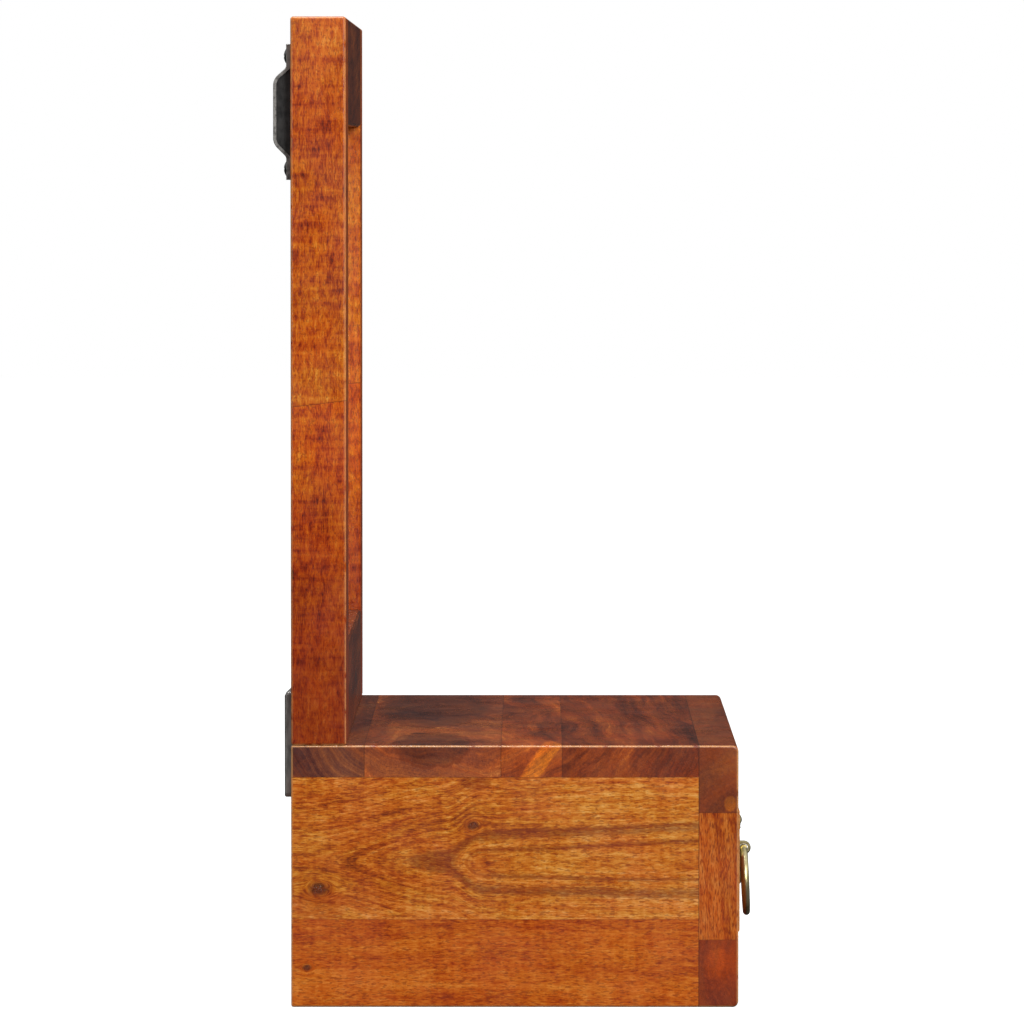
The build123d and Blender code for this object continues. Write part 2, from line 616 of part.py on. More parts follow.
def build_back_fittings():
    one_hanger = hanger()
    one_plate = joining_plate()
    hanger_screws = []
    plate_screws = []
    for name, sign in both_sides():
        save("hanger_" + name, Pos(sign * FITTING_X, 0, 0) * one_hanger)
        save("joining_plate_" + name, Pos(sign * FITTING_X, 0, 0) * one_plate)
        for seat in hanger_screw_seats(sign):
            hanger_screws.append(
                domed_screw(HANGER_SCREW_HEAD, HANGER_SCREW_SHANK, seat, (0, 1, 0)))
        for seat in joining_screw_seats(sign):
            plate_screws.append(countersunk_screw(JOINING_SCREW_HEAD, JOINING_SCREW_SHANK, seat))
    save("hanger_screws", group(hanger_screws))
    save("joining_plate_screws", group(plate_screws))


# ---------------------------------------------------------------- the drawers
def drawer_dowel_list(x_middle):
    """Dowels that join the drawer's front and back to its sides."""
    dowels = []
    side_x = DRAWER_WIDTH / 2 - DRAWER_SIDE / 2
    back_y = DRAWER_BACK_Y - DRAWER_SIDE / 2
    for sign in (-1, 1):
        x = x_middle + sign * side_x
        for z in DRAWER_DOWEL_ZS:
            start = (x, DRAWER_BEHIND_FRONT - DOWEL_IN_BOARD, z)
            dowels.append((DOWEL_RADIUS, start, (x, DRAWER_BEHIND_FRONT + DOWEL_IN_EDGE, z)))
        inner = x_middle + sign * (DRAWER_WIDTH / 2 - DRAWER_SIDE - DOWEL_IN_EDGE)
        outer = x_middle + sign * (DRAWER_WIDTH / 2 - DRAWER_DOWEL_SKIN)
        for z in DRAWER_DOWEL_ZS:
            dowels.append((DRAWER_BACK_DOWEL_RADIUS, (inner, back_y, z), (outer, back_y, z)))
    return dowels


def pull_plate(x):
    """The backing plate of a ring pull: a disc with an ear above and below."""
    face = Plane(origin=(x, PLATE_BACK_Y, PIVOT_Z), x_dir=(1, 0, 0), z_dir=(0, -1, 0))
    outline = Circle(PLATE_RADIUS)
    for side in (-1, 1):
        outline = outline + Pos(0, side * EAR_OFFSET) * Circle(EAR_RADIUS)
        neck = Rectangle(NECK_WIDTH, EAR_OFFSET)
        outline = outline + Pos(0, side * EAR_OFFSET / 2) * neck
    plate = extrude(outline, PLATE_THICKNESS)
    front_edges = plate.faces().sort_by(Axis.Z)[-1].edges()
    plate = chamfer(front_edges, PLATE_EDGE)
    plate = plate - Cylinder(EYE_SHANK_RADIUS, LONG)
    for side in (-1, 1):
        plate = plate - Pos(0, side * EAR_OFFSET, 0) * Cylinder(PULL_SCREW_SHANK[0], LONG)
    return face * plate


def pull_eye(x):
    """The eye that the ring hangs in, riveted through its plate."""
    pivot = (x, PIVOT_Y, PIVOT_Z)
    neck = rod(EYE_RADIUS, pivot, (x, PLATE_FACE_Y, PIVOT_Z))
    body = neck + Pos(*pivot) * Sphere(EYE_RADIUS)
    half = EYE_WIDTH / 2
    slab_y = (PIVOT_Y - LONG, PLATE_FACE_Y)
    body = body & block((x - half, x + half), slab_y, (PIVOT_Z - LONG, PIVOT_Z + LONG))
    body = body - rod(EYE_HOLE_RADIUS, (x - LONG, PIVOT_Y, PIVOT_Z), (x + LONG, PIVOT_Y, PIVOT_Z))
    shank = rod(EYE_SHANK_RADIUS, (x, PLATE_FACE_Y, PIVOT_Z), (x, PLATE_BACK_Y, PIVOT_Z))
    rivet_end = (x, PLATE_BACK_Y + EYE_RIVET_HEIGHT, PIVOT_Z)
    rivet = rod(EYE_RIVET_RADIUS, (x, PLATE_BACK_Y, PIVOT_Z), rivet_end)
    return body + shank + rivet


def pull_screw_seats(x):
    """The screws of a pull's plate, one in each ear."""
    return [(x, PLATE_FACE_Y, PIVOT_Z + side * EAR_OFFSET) for side in (-1, 1)]


def build_drawer(name, x_middle):
    half = DRAWER_WIDTH / 2
    prefix = "drawer_" + name + "_"
    dowels = drawer_dowel_list(x_middle)
    groove_z = (DRAWER_FLOOR_Z - DRAWER_BOTTOM, DRAWER_FLOOR_Z)
    bottom_x = (x_middle - half + DRAWER_SIDE - DRAWER_GROOVE,
                x_middle + half - DRAWER_SIDE + DRAWER_GROOVE)
    bottom_y = (DRAWER_BEHIND_FRONT - DRAWER_GROOVE, DRAWER_BACK_Y)
    groove = block(bottom_x, bottom_y, groove_z)

    front_z = (RAIL_HEIGHT + DRAWER_GAP, DRAWER_TOP_Z)
    x = (x_middle - half, x_middle + half)
    front = block(x, (DRAWER_FACE_Y, DRAWER_BEHIND_FRONT), front_z)
    front = fillet(front.faces().sort_by(Axis.Y)[0].edges(), DRAWER_EDGE)
    front = drilled(front - groove, dowels)
    rivet_end = (x_middle, PLATE_BACK_Y + EYE_RIVET_HEIGHT + END_GAP, PIVOT_Z)
    rivet_start = (x_middle, PLATE_BACK_Y - THROUGH, PIVOT_Z)
    rivet_room = rod(EYE_RIVET_RADIUS + RIVET_ROOM, rivet_start, rivet_end)
    front = front - rivet_room
    shank_radius, shank_length = PULL_SCREW_SHANK
    for seat in pull_screw_seats(x_middle):
        sx, sy, sz = seat
        front = front - rod(shank_radius, (sx, sy, sz), (sx, sy + shank_length, sz))
    save(prefix + "front", front)

    behind = (DRAWER_BEHIND_FRONT, DRAWER_BACK_Y)
    for side_name, sign in both_sides():
        x = side_range(sign, half - DRAWER_SIDE, half)
        x = (x[0] + x_middle, x[1] + x_middle)
        side = block(x, behind, (RAIL_HEIGHT, DRAWER_TOP_Z)) - groove
        save(prefix + "side_" + side_name, drilled(side, dowels))

    inner = (x_middle - half + DRAWER_SIDE, x_middle + half - DRAWER_SIDE)
    back_y = (DRAWER_BACK_Y - DRAWER_SIDE, DRAWER_BACK_Y)
    back = block(inner, back_y, (DRAWER_FLOOR_Z, DRAWER_TOP_Z))
    save(prefix + "back", drilled(back, dowels))

    x = (bottom_x[0] + BOTTOM_PLAY, bottom_x[1] - BOTTOM_PLAY)
    save(prefix + "bottom", block(x, (bottom_y[0] + BOTTOM_PLAY, bottom_y[1]), groove_z))
    save(prefix + "dowels", group(rod(*dowel) for dowel in dowels))

    pull = "pull_" + name + "_"
    save(pull + "plate", pull_plate(x_middle))
    save(pull + "eye", pull_eye(x_middle))
    screws = [domed_screw(PULL_SCREW_HEAD, PULL_SCREW_SHANK, seat, (0, -1, 0))
              for seat in pull_screw_seats(x_middle)]
    save(pull + "screws", group(screws))
    leaning = Pos(x_middle, PIVOT_Y, PIVOT_Z) * Rot(-RING_LEAN, 0, 0)
    ring = Pos(0, 0, -RING_RADIUS) * Rot(90, 0, 0) * Torus(RING_RADIUS, WIRE_RADIUS)
    save(pull + "ring", leaning * ring)


os.makedirs("parts", exist_ok=True)
build_case()
build_drawer_supports()
build_mirror()
build_back_fittings()
for drawer_name, drawer_sign in both_sides():
    build_drawer(drawer_name, drawer_sign * DRAWER_X)
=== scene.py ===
import math

import bpy
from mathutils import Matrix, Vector


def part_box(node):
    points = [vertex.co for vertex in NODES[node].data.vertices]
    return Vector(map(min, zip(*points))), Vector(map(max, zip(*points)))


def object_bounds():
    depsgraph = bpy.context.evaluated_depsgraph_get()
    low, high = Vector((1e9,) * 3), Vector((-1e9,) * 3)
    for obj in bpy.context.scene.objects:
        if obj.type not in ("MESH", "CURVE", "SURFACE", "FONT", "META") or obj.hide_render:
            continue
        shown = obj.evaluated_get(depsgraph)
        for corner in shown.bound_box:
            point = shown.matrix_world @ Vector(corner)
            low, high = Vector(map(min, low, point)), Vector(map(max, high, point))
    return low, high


# Looks of a small wooden vanity table with a mirror. Everything is in metres, in the
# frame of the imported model; MM turns millimetres into metres.

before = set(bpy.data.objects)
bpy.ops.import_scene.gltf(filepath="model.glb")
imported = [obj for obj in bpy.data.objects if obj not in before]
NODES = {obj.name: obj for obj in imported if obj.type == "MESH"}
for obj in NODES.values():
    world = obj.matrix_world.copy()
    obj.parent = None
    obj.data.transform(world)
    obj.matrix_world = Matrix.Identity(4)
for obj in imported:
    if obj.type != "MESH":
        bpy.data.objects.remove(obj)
cad_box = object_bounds()

MM = 0.001


# ---------------------------------------------------------------- node helpers
class Tree:
    """One material's node tree, built with short calls. Values may be numbers or sockets."""

    def __init__(self, name):
        self.material = bpy.data.materials.new(name)
        self.material.use_nodes = True
        self.nodes = self.material.node_tree.nodes
        self.links = self.material.node_tree.links
        self.shader = self.nodes["Principled BSDF"]
        self.place = self.nodes.new("ShaderNodeTexCoord").outputs["Object"]

    def put(self, socket, value):
        if isinstance(value, bpy.types.NodeSocket):
            self.links.new(value, socket)
        elif isinstance(value, (tuple, list)) and socket.type == "RGBA":
            socket.default_value = tuple(value[:3]) + (1.0,)
        else:
            socket.default_value = value

    def node(self, kind, inputs, output=0, **settings):
        made = self.nodes.new(kind)
        for key, value in settings.items():
            setattr(made, key, value)
        for key, value in inputs.items():
            self.put(made.inputs[key], value)
        return made.outputs[output]

    def math(self, operation, a, b=0.0):
        return self.node("ShaderNodeMath", {0: a, 1: b}, operation=operation)

    def add(self, *values):
        total = values[0]
        for value in values[1:]:
            total = self.math("ADD", total, value)
        return total

    def times(self, *values):
        total = values[0]
        for value in values[1:]:
            total = self.math("MULTIPLY", total, value)
        return total

    def vector(self, operation, a, b):
        return self.node("ShaderNodeVectorMath", {0: a, 1: b}, operation=operation)

    def dot(self, a, b):
        return self.node("ShaderNodeVectorMath", {0: a, 1: b}, "Value", operation="DOT_PRODUCT")

    def join(self, x, y, z):
        return self.node("ShaderNodeCombineXYZ", {0: x, 1: y, 2: z})

    def split(self, value):
        made = self.nodes.new("ShaderNodeSeparateXYZ")
        self.put(made.inputs[0], value)
        return tuple(made.outputs)

    def noise(self, place, scale=(1.0, 1.0, 1.0), detail=2.0, roughness=0.5, warp=0.0, output=0):
        """Soft noise: scale is in features per unit of the place, along each of its axes."""
        stretched = self.vector("MULTIPLY", place, tuple(scale))
        inputs = {"Vector": stretched, "Scale": 1.0, "Detail": detail,
                  "Roughness": roughness, "Distortion": warp}
        return self.node("ShaderNodeTexNoise", inputs, output)

    def ease(self, value, low, high, start=0.0, end=1.0):
        """A smooth step: start at low, end at high."""
        inputs = {"Value": value, "From Min": low, "From Max": high,
                  "To Min": start, "To Max": end}
        return self.node("ShaderNodeMapRange", inputs, interpolation_type="SMOOTHSTEP")

    def ramp(self, value, stops):
        """A colour ramp: stops are (position, colour)."""
        made = self.nodes.new("ShaderNodeValToRGB")
        elements = made.color_ramp.elements
        while len(elements) < len(stops):
            elements.new(0.5)
        for element, (position, colour) in zip(elements, stops):
            element.position = position
            element.color = tuple(colour) + (1.0,)
        self.put(made.inputs[0], value)
        return made.outputs[0]

    def mix(self, factor, a, b, blend="MIX"):
        made = self.nodes.new("ShaderNodeMix")
        made.data_type = "RGBA"
        made.blend_type = blend
        made.clamp_factor = True
        self.put(made.inputs[0], factor)
        self.put(made.inputs[6], a)
        self.put(made.inputs[7], b)
        return made.outputs[2]

    def bump(self, height, distance, strength=1.0):
        inputs = {"Height": height, "Distance": distance, "Strength": strength}
        return self.node("ShaderNodeBump", inputs)

    def set(self, **inputs):
        for key, value in inputs.items():
            self.put(self.shader.inputs[key.replace("_", " ")], value)


def srgb(*values):
    """A colour given as 0-255 display values, as linear light."""
    return tuple((v / 255 / 12.92) if v <= 10 else ((v / 255 + 0.055) / 1.055) ** 2.4 for v in values)


def paint(material, *names):
    """Gives CAD nodes their material."""
    for name in names:
        mesh = NODES[name].data
        if not mesh.materials:
            mesh.materials.append(material)
        for index in range(len(mesh.materials)):
            mesh.materials[index] = material


# ---------------------------------------------------------------- wood
# Lengths in this section are in millimetres, like the places that the wood nodes use.
HONEY = [(0.12, srgb(98, 36, 8)), (0.32, srgb(154, 68, 8)), (0.47, srgb(182, 98, 16)),
         (0.64, srgb(200, 124, 40)), (0.90, srgb(222, 160, 80))]
RUSSET = [(0.10, srgb(92, 22, 4)), (0.30, srgb(156, 54, 4)), (0.50, srgb(190, 88, 10)),
          (0.70, srgb(208, 112, 26)), (0.92, srgb(224, 144, 66))]
UMBER = [(0.10, srgb(50, 26, 20)), (0.34, srgb(98, 46, 26)), (0.52, srgb(132, 66, 30)),
         (0.70, srgb(162, 84, 32)), (0.90, srgb(206, 128, 54))]
DARK_LINE = srgb(118, 48, 18)
PORE = srgb(112, 34, 8)
# pale bare wood at rubbed edges, and also the painted highlight along the edges
PALE_WEAR_AND_HIGHLIGHT = srgb(232, 170, 108)
GLUE = srgb(50, 20, 12)
KNOT = [(0.35, srgb(52, 20, 12)), (0.65, srgb(120, 52, 22))]

SEED_STEP = 0.37                # how far apart the boards of two seeds are cut, in stave jumps
STAVE_JUMP = (713, 91, 57)      # how far apart two staves are cut, along and across the grain
GLUE_LINE = (0.1, 0.45)         # half widths: dark out to the first, gone at the second
SEAM_LINE = (0.05, 0.35)        # the same where another board meets this one
SEAM_DARK = 0.7
WORN_AND_HIGHLIT_EDGE = (0.2, 1.2)          # pale bare wood and painted highlight out to the first, full colour from the second
KNOT_LENGTH = 0.7               # below 1, knots are longer along the grain
KNOT_PULL = -1.6                # how far the grain swings, in knot radii
KNOT_EYE = (0.45, 1.15)         # the dark eye, in knot radii
ROUND_RINGS = (0.6, -0.8)       # the direction that the streaks count as round the rings
FINE_SHARE = 0.55               # the finest bands, as a share of the narrow ones
TONE_DRIFT = 0.45               # slow drift of tone along a board


class Wood:
    """How one board is cut: its grain axis, staves, pith, knots and figure."""

    def __init__(self, axes, palette, seed, **choices):
        self.axes = axes                # grain axis first, such as "yzx"
        self.palette = palette
        self.seed = seed
        self.pith = choices.get("pith", (50, 60))          # centre of the rings: (v, w)
        self.taper = choices.get("taper", 0.03)            # how fast the rings run out
        self.swells = choices.get("swells", ())            # (along, width, amount)
        self.lines = choices.get("lines", ())              # dark rings: (u, v, w, width, from, to)
        self.cuts = choices.get("cuts", ())                # glue lines: (direction, place)
        self.glue = choices.get("glue", 0.4)               # how dark the glue lines are
        self.tones = choices.get("tones", ((1.0, 1.0, 1.0),))      # one for each stave
        self.hues = choices.get("hues", ((1.03, 0.9, 0.8), (0.99, 1.1, 1.25)))   # red to golden
        self.fade = choices.get("fade")                    # (from, to, tone at from)
        self.knots = choices.get("knots", ())              # (along, across, radius)
        self.patches = choices.get("patches", ())          # (centre, halves, lean, tone, outline)
        self.bands = choices.get("bands", (0.8, 0.8))      # wide and narrow grain bands
        self.calm = choices.get("calm", 1.0)               # how much of the bands the first stave has
        self.fibres = choices.get("fibres", 0.8)           # thin threads along the grain
        self.mottle = choices.get("mottle", 0.35)          # small flecks
        self.ripple = choices.get("ripple", 0.0)           # curl across the grain
        self.pores = choices.get("pores", 0.5)             # how dark the pores are
        self.dash = choices.get("dash", 0.3)               # pores per millimetre of grain
        self.wave = choices.get("wave", 7)                 # sideways wander of the grain
        self.gloss = choices.get("gloss", 0.30)
        self.seams = choices.get("seams", ())              # where other boards meet it: (axis, place)
        self.edge = choices.get("edge", 0.6)               # pale rubbed edges, partly a painted highlight

    def ring(self, u, v, w):
        """The ring that passes through a point of the undisturbed board."""
        ring = math.hypot(v - self.pith[0], w - self.pith[1]) + self.taper * u
        for place, width, amount in self.swells:
            part = min(max((u - place) / width + 0.5, 0), 1)
            ring += amount * part * part * (3 - 2 * part)
        return ring


def wood_place(tree, wood):
    """The place in the board, grain first, its staves, its dark joints, and each stave's jump."""
    axes = dict(zip("xyz", tree.split(tree.vector("DIVIDE", tree.place, (MM, MM, MM)))))
    board = [axes[letter] for letter in wood.axes]
    uncut = tree.join(*board)
    steps = []
    dark = 0.0
    for direction, position in wood.cuts:
        across = tree.math("SUBTRACT", tree.dot(uncut, direction), position)
        steps.append(tree.math("GREATER_THAN", across, 0.0))
        line = tree.ease(tree.math("ABSOLUTE", across), *GLUE_LINE, wood.glue, 0.0)
        dark = tree.math("MAXIMUM", dark, line)
    for letter, position in wood.seams:
        away = tree.math("ABSOLUTE", tree.math("SUBTRACT", axes[letter], position))
        dark = tree.math("MAXIMUM", dark, tree.ease(away, *SEAM_LINE, SEAM_DARK, 0.0))
    start = wood.seed * SEED_STEP
    shift = tree.add(start, *steps) if steps else start
    jump = tree.join(*(tree.times(shift, amount) for amount in STAVE_JUMP))
    return board, steps, dark, jump


def knot_fields(tree, wood, board):
    """For the knots: how the grain swings round them, and their dark eyes."""
    along, across = board[0], board[1]
    swing = 0.0
    eye = 0.0
    for u, v, radius in wood.knots:
        du = tree.times(tree.math("SUBTRACT", along, u), KNOT_LENGTH)
        dv = tree.math("SUBTRACT", across, v)
        away = tree.math("SQRT", tree.add(tree.times(du, du), tree.times(dv, dv), 0.01))
        pull = tree.math("POWER", tree.math("ADD", tree.times(away, 0.5 / radius), 0.6), -3.0)
        side = tree.math("DIVIDE", dv, away)
        swing = tree.add(swing, tree.times(pull, side, KNOT_PULL * radius))
        inner, outer = (share * radius for share in KNOT_EYE)
        eye = tree.math("MAXIMUM", eye, tree.ease(away, inner, outer, 1.0, 0.0))
    return swing, eye


def patch_tone(tree, wood, board, colour):
    """Bodies of darker or lighter wood: soft ellipsoids, some of them leaning over."""
    for centre, halves, lean, tone, outline in wood.patches:
        offsets = [tree.math("SUBTRACT", place, middle) for place, middle in zip(board, centre)]
        offsets[1] = tree.add(offsets[1], tree.times(offsets[2], lean))
        parts = [tree.math("POWER", tree.math("DIVIDE", tree.math("ABSOLUTE", offset), half), 2.0)
                 for offset, half in zip(offsets, halves)]
        ragged = tree.noise(tree.join(*board), (0.03, 0.12, 0.12), 3.0, 0.6)
        size = tree.add(*parts, tree.times(tree.math("SUBTRACT", ragged, 0.5), 1.1))
        inside = tree.ease(size, 0.6, 1.25, 1.0, 0.0)
        colour = tree.mix(1.0, colour, tree.mix(inside, (1, 1, 1), tone), "MULTIPLY")
        if outline:
            rim = tree.ease(tree.math("ABSOLUTE", tree.math("SUBTRACT", size, 0.98)),
                            0.02, 0.13, outline, 0.0)
            colour = tree.mix(rim, colour, DARK_LINE)
    return colour


def edge_distance(tree, box):
    """Millimetres from the nearest edge of a box: near only where two of its faces are."""
    low, high = box
    near = []
    for axis, place in enumerate(tree.split(tree.place)):
        near.append(tree.math("MINIMUM", tree.math("SUBTRACT", place, low[axis]),
                              tree.math("SUBTRACT", high[axis], place)))
    smaller = tree.math("MINIMUM", near[0], near[1])
    larger = tree.math("MAXIMUM", near[0], near[1])
    second = tree.math("MAXIMUM", smaller, tree.math("MINIMUM", larger, near[2]))
    return tree.times(second, 1 / MM)


def ring_field(tree, wood, board, swing, jump, swollen):
    """The ring that each point belongs to, with its wander and swing round knots."""
    wander = tree.noise(tree.vector("ADD", tree.join(*board), jump),
                        (0.006, 0.022, 0.022), 2.0, output="Color")
    _, wave_v, wave_w = tree.split(tree.vector("SUBTRACT", wander, (0.5, 0.5, 0.5)))
    v = tree.add(board[1], tree.times(wave_v, 2 * wood.wave), swing)
    w = tree.add(board[2], tree.times(wave_w, 2 * wood.wave))
    from_v = tree.math("SUBTRACT", v, wood.pith[0])
    from_w = tree.math("SUBTRACT", w, wood.pith[1])
    radius = tree.math("SQRT", tree.add(tree.times(from_v, from_v), tree.times(from_w, from_w)))
    ring = tree.add(radius, tree.times(board[0], wood.taper))
    for place, width, amount in wood.swells:
        swell = tree.ease(board[0], place - width / 2, place + width / 2, 0.0, amount)
        ring = tree.add(ring, tree.times(swell, swollen))
    round_it = tree.add(tree.times(from_v, ROUND_RINGS[0]), tree.times(from_w, ROUND_RINGS[1]))
    return ring, round_it


def grain_layers(tree, streaks, place):
    """The grain's noises. Three follow the rings: scales across, round and along them.
    Four keep to the board: scales along the grain and across it."""
    return {
        "wide": tree.noise(streaks, (0.085, 0.012, 0.004), 3.0, 0.55),
        "narrow": tree.noise(streaks, (0.42, 0.05, 0.012), 3.0, 0.65),
        "fine": tree.noise(streaks, (1.5, 0.16, 0.055), 2.0, 0.65),
        "fibre": tree.noise(place, (0.28, 1.9, 1.9), 2.0, 0.65, 0.15),
        "patch": tree.noise(place, (0.16, 0.5, 0.5), 3.0, 0.62, 0.35),
        "curl": tree.noise(place, (0.26, 0.03, 0.03), 3.0, 0.6, 0.2),
        "tone": tree.noise(place, (0.006, 0.03, 0.03), 2.0, 0.5),
    }


def grain_value(tree, wood, layers, figured):
    """Where each point lies on the palette, from 0 for dark to 1 for light."""
    bands = (("wide", wood.bands[0]), ("narrow", wood.bands[1]), ("fine", FINE_SHARE * wood.bands[1]))
    texture = (("fibre", wood.fibres), ("patch", wood.mottle), ("curl", wood.ripple), ("tone", TONE_DRIFT))
    value = 0.5
    for group, strength in ((bands, figured), (texture, 1.0)):
        for layer, amount in group:
            if amount:
                apart = tree.times(tree.math("SUBTRACT", layers[layer], 0.5), amount)
                value = tree.add(value, tree.times(apart, strength))
    return value


def stave_tone(tree, wood, board, steps, streaks, figured, colour):
    """Each stave's tone, streaks of redder and more golden wood, and the fade to one end."""
    tint = wood.tones[0]
    for step, tone in zip(steps, wood.tones[1:]):
        tint = tree.mix(step, tint, tone)
    colour = tree.mix(1.0, colour, tint, "MULTIPLY")
    gold = tree.ease(tree.noise(streaks, (0.12, 0.03, 0.03), 3.0, 0.6, 0.4), 0.36, 0.64)
    hue = tree.mix(gold, wood.hues[0], wood.hues[1])
    colour = tree.mix(figured, colour, tree.mix(1.0, colour, hue, "MULTIPLY"))
    if wood.fade:
        low, high, end_tone = wood.fade
        part = tree.ease(board[0], low, high)
        colour = tree.mix(1.0, colour, tree.mix(part, end_tone, (1, 1, 1)), "MULTIPLY")
    return colour


def ring_lines(tree, wood, board, ring, layers, swollen, colour):
    """Dark lines along chosen rings, ragged and broken, that come in along the grain."""
    for u, v, w, width, start, end in wood.lines:
        away = tree.math("ABSOLUTE", tree.math("SUBTRACT", ring, wood.ring(u, v, w)))
        ragged = tree.times(tree.math("SUBTRACT", layers["fibre"], 0.5), 2.5 * width)
        line = tree.ease(tree.add(away, ragged), 0.1 * width, 1.9 * width, 0.7, 0.0)
        fade = tree.times(tree.ease(board[0], start, end), swollen)
        broken = tree.ease(layers["patch"], 0.3, 0.6, 0.4, 0.9)
        colour = tree.mix(tree.times(line, fade, broken), colour, DARK_LINE)
    return colour


def worn_and_highlit_edges(tree, wood, box, colour):
    """Lacquer rubbed off in chips along the board's edges, with a painted highlight in the same pale
    colour along them.
    """
    breakup = tree.noise(tree.place, (160, 160, 160), 2.0, 0.6)
    worn_and_highlit = tree.times(tree.ease(edge_distance(tree, box), *WORN_AND_HIGHLIT_EDGE, 1.0, 0.0),
                      tree.ease(breakup, 0.28, 0.5), wood.edge)
    return tree.mix(worn_and_highlit, colour, PALE_WEAR_AND_HIGHLIGHT)


def wood_material(name, wood, box):
    """Lacquered wood that runs through the whole board, so its ends show end grain."""
    tree = Tree(name)
    board, steps, dark, jump = wood_place(tree, wood)
    swing, eye = knot_fields(tree, wood, board)
    swollen = steps[0] if steps else 1.0        # swells and lines stay past the first glue line
    figured = tree.ease(swollen, 0.0, 1.0, wood.calm, 1.0) if steps else 1.0
    ring, round_it = ring_field(tree, wood, board, swing, jump, swollen)
    jump_u, jump_v, _ = tree.split(jump)
    streaks = tree.join(tree.add(ring, jump_v), round_it, tree.add(board[0], jump_u))
    place = tree.vector("ADD", tree.join(board[0], tree.add(board[1], swing), board[2]), jump)
    layers = grain_layers(tree, streaks, place)

    colour = tree.ramp(grain_value(tree, wood, layers, figured), wood.palette)
    colour = stave_tone(tree, wood, board, steps, streaks, figured, colour)
    colour = patch_tone(tree, wood, board, colour)
    colour = ring_lines(tree, wood, board, ring, layers, swollen, colour)
    pore = tree.ease(tree.noise(place, (wood.dash, 1.3, 1.3), 1.0, 0.5), 0.52, 0.68)
    colour = tree.mix(tree.times(pore, wood.pores), colour, PORE)
    knot_rings = tree.noise(place, (0.26, 0.42, 0.42), 2.0, 0.6, 1.0)
    colour = tree.mix(tree.times(eye, 0.9), colour, tree.ramp(knot_rings, KNOT))
    # pale edges: rubbed lacquer and a painted highlight
    colour = worn_and_highlit_edges(tree, wood, box, colour)
    colour = tree.mix(dark, colour, GLUE)

    smear = tree.noise(tree.place, (38, 38, 38), 3.0, 0.6)
    rough = tree.ease(smear, 0.3, 0.7, wood.gloss - 0.05, wood.gloss + 0.08)
    relief = tree.add(tree.times(pore, -0.6), tree.times(layers["fibre"], 0.4),
                      tree.times(layers["fine"], 0.3))
    tree.set(Base_Color=colour, Roughness=rough)
    tree.set(Coat_Weight=0.12, Coat_Roughness=0.12, Specular_IOR_Level=0.4)
    tree.set(Normal=tree.bump(relief, 0.05 * MM, 0.5))
    return tree.material


# ---------------------------------------------------------------- which board is cut how
ORANGE = (1.9, 2.3, 0.8)        # the tone of the bright wood in the ends of umber boards


def in_mm(name):
    """The lowest and highest corners of a node, in millimetres."""
    low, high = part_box(name)
    return [value / MM for value in low], [value / MM for value in high]


def around(*names):
    """The box round several nodes, in metres."""
    boxes = [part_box(name) for name in names]
    low = [min(box[0][axis] for box in boxes) for axis in range(3)]
    high = [max(box[1][axis] for box in boxes) for axis in range(3)]
    return low, high


def board(name, wood, edges=None):
    """Gives one CAD board its own cut of wood."""
    paint(wood_material("wood_" + name, wood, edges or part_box(name)), name)


def dress_sides(edges, seams):
    for name, side in (("side_panel_left", 0), ("side_panel_right", 1)):
        face = in_mm(name)[side][0]
        heart = face + 5 * (1 - 2 * side)
        board(name, Wood(
            "yzx", HONEY, 1 + side, pith=(74, heart), taper=0.025, swells=((26, 18, 8), (70, 70, 12)),
            lines=((33, 74, face, 1.4, 90, 40), (49, 74, face, 1.1, 90, 60), (24, 74, face, 0.8, 30, 10)),
            cuts=(((0, 1, 0), 44.5),), tones=((1.0, 0.69, 0.46), (1.1, 1.1, 1.35)),
            bands=(0.66, 0.65), calm=0.6, fibres=0.7, mottle=0.7, pores=0.5, ripple=0.35, glue=0.12,
            hues=((1.02, 0.88, 0.85), (1.04, 1.12, 1.05)), dash=0.4,
            knots=((21, 92, 2.6), (99, 60, 4.0), (105, 20, 2.0)),
            patches=(((99, 51, face), (14, 9, 20), 0.0, (0.86, 0.66, 0.6), 0.0),
                     ((20, 114, face), (8, 4, 12), 0.0, (0.7, 0.6, 0.6), 0.0)),
            seams=seams, wave=4), edges)


def dress_top(edges, seams):
    top = in_mm("top_panel")[1][2]
    dark = (0.5, 0.5, 0.62)
    board("top_panel", Wood(
        "xyz", UMBER, 5, pith=(30, top + 60), taper=0.04,
        cuts=(((0, 1, 0), -24), ((0, 1, 0), 7), ((0, 1, 0), 76)),
        tones=((1.0, 0.74, 0.56), (1.3, 1.04, 0.8), (1.2, 1.14, 1.35), (0.74, 0.8, 1.4)),
        patches=(((90, 43, top), (150, 31, 15), 0.0, dark, 0.6),
                 ((-180, 42, top), (75, 20, 12), 0.0, dark, 0.6),
                 ((-200, -13, top - 8), (34, 5.2, 30), 0.67, ORANGE, 0.0),
                 ((-200, -74, top - 7), (90, 16, 12), 0.0, (0.72, 0.66, 0.75), 0.3)),
        knots=((-110, 50, 5),), seams=seams, bands=(1.1, 0.55), fibres=0.4,
        mottle=0.4, pores=0.2, wave=12, edge=0.8), edges)


